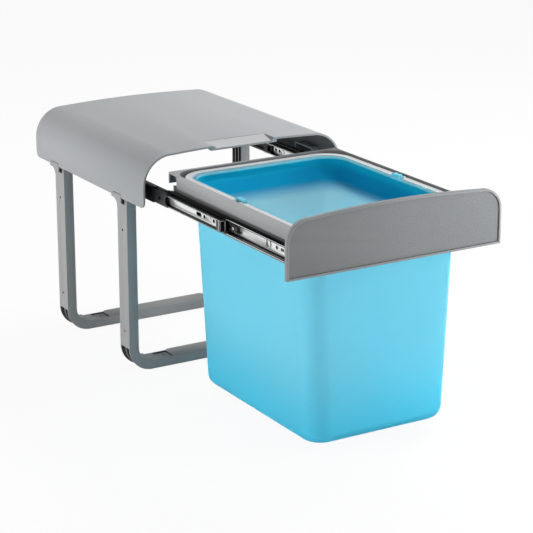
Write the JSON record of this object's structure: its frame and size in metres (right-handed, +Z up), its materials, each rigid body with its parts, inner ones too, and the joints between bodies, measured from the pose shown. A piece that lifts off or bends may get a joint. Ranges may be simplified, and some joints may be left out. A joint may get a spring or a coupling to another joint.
{
  "type": "pull out bin frame",
  "caption": "Floor-standing cabinet frame with a covered top, ball-bearing drawer slides, a pull-out carriage with a front panel, and a lift-out waste bin with folding handles.",
  "frame": {"origin": "on the cabinet floor, at the centre of the four floor screws", "axes": "+X to the right seen from the front, +Y to the back of the cabinet, +Z up"},
  "size_m": [0.409, 0.9264, 0.4264],
  "materials": {
    "cover_plastic": "satin moulded plastic",
    "leg_plastic": "satin moulded plastic",
    "carriage_plastic": "satin moulded plastic",
    "panel_plastic": "fine-grained moulded plastic",
    "bin_plastic": "translucent polished plastic",
    "handle_plastic": "smooth moulded plastic",
    "rail_steel": "bright zinc plate",
    "ball_steel": "polished steel",
    "screw_steel": "zinc plate",
    "stop_plastic": "moulded plastic",
    "black_plastic": "moulded plastic"
  },
  "bodies": {
    "cabinet_frame": {"top_cover": "cover_plastic", "front_leg": "leg_plastic", "rear_leg": "leg_plastic", "left_outer_rail": "rail_steel", "right_outer_rail": "rail_steel", "left_rail_screws": "screw_steel", "right_rail_screws": "screw_steel"},
    "carriage": {"carriage_frame": "carriage_plastic", "front_panel": "panel_plastic", "panel_screws": "screw_steel", "left_drawer_rail": "rail_steel", "right_drawer_rail": "rail_steel", "left_drawer_screws": "screw_steel", "right_drawer_screws": "screw_steel"},
    "left_middle": {"left_middle_rail": "rail_steel", "left_middle_stops": "stop_plastic"},
    "left_outer_bearing": {"left_outer_cage": "black_plastic", "left_outer_balls": "ball_steel"},
    "left_inner_bearing": {"left_inner_cage": "black_plastic", "left_inner_balls": "ball_steel"},
    "left_lever": {"left_release_lever": "black_plastic"},
    "right_middle": {"right_middle_rail": "rail_steel", "right_middle_stops": "stop_plastic"},
    "right_outer_bearing": {"right_outer_cage": "black_plastic", "right_outer_balls": "ball_steel"},
    "right_inner_bearing": {"right_inner_cage": "black_plastic", "right_inner_balls": "ball_steel"},
    "right_lever": {"right_release_lever": "black_plastic"},
    "bin": {"bin": "bin_plastic"},
    "front_handle": {"front_handle": "handle_plastic"},
    "rear_handle": {"rear_handle": "handle_plastic"}
  },
  "joints": [
    {"name": "drawer_slide", "type": "slide", "parent": "cabinet_frame", "child": "carriage", "axis": [0, -1, 0], "range_m": [-0.47, 0]},
    {"name": "left_outer_bearing_slide", "type": "slide", "parent": "cabinet_frame", "child": "left_outer_bearing", "axis": [0, -1, 0], "range_m": [-0.1175, 0]},
    {"name": "left_middle_slide", "type": "slide", "parent": "cabinet_frame", "child": "left_middle", "axis": [0, -1, 0], "range_m": [-0.235, 0]},
    {"name": "left_inner_bearing_slide", "type": "slide", "parent": "cabinet_frame", "child": "left_inner_bearing", "axis": [0, -1, 0], "range_m": [-0.3525, 0]},
    {"name": "left_lever_pivot", "type": "hinge", "parent": "carriage", "child": "left_lever", "pos_m": [0, -0.47, 0.347], "axis": [1, 0, 0], "range_deg": [0, 6], "stiffness_Nm_per_rad": 0.02, "springref_deg": -2.86},
    {"name": "right_outer_bearing_slide", "type": "slide", "parent": "cabinet_frame", "child": "right_outer_bearing", "axis": [0, -1, 0], "range_m": [-0.1175, 0]},
    {"name": "right_middle_slide", "type": "slide", "parent": "cabinet_frame", "child": "right_middle", "axis": [0, -1, 0], "range_m": [-0.235, 0]},
    {"name": "right_inner_bearing_slide", "type": "slide", "parent": "cabinet_frame", "child": "right_inner_bearing", "axis": [0, -1, 0], "range_m": [-0.3525, 0]},
    {"name": "right_lever_pivot", "type": "hinge", "parent": "carriage", "child": "right_lever", "pos_m": [0, -0.47, 0.347], "axis": [1, 0, 0], "range_deg": [0, 6], "stiffness_Nm_per_rad": 0.02, "springref_deg": -2.86},
    {"name": "bin_lift", "type": "slide", "parent": "carriage", "child": "bin", "axis": [0, 0, 1], "range_m": [0, 0.38]},
    {"name": "front_handle_hinge", "type": "hinge", "parent": "bin", "child": "front_handle", "pos_m": [0, -0.48325, 0.3904], "axis": [-1, 0, 0], "range_deg": [0, 90]},
    {"name": "rear_handle_hinge", "type": "hinge", "parent": "bin", "child": "rear_handle", "pos_m": [0, -0.46525, 0.3904], "axis": [1, 0, 0], "range_deg": [0, 90]}
  ],
  "couplings": [
    {"joint": "left_outer_bearing_slide", "follows": "drawer_slide", "ratio": 0.25},
    {"joint": "left_middle_slide", "follows": "drawer_slide", "ratio": 0.5},
    {"joint": "left_inner_bearing_slide", "follows": "drawer_slide", "ratio": 0.75},
    {"joint": "right_outer_bearing_slide", "follows": "drawer_slide", "ratio": 0.25},
    {"joint": "right_middle_slide", "follows": "drawer_slide", "ratio": 0.5},
    {"joint": "right_inner_bearing_slide", "follows": "drawer_slide", "ratio": 0.75}
  ]
}
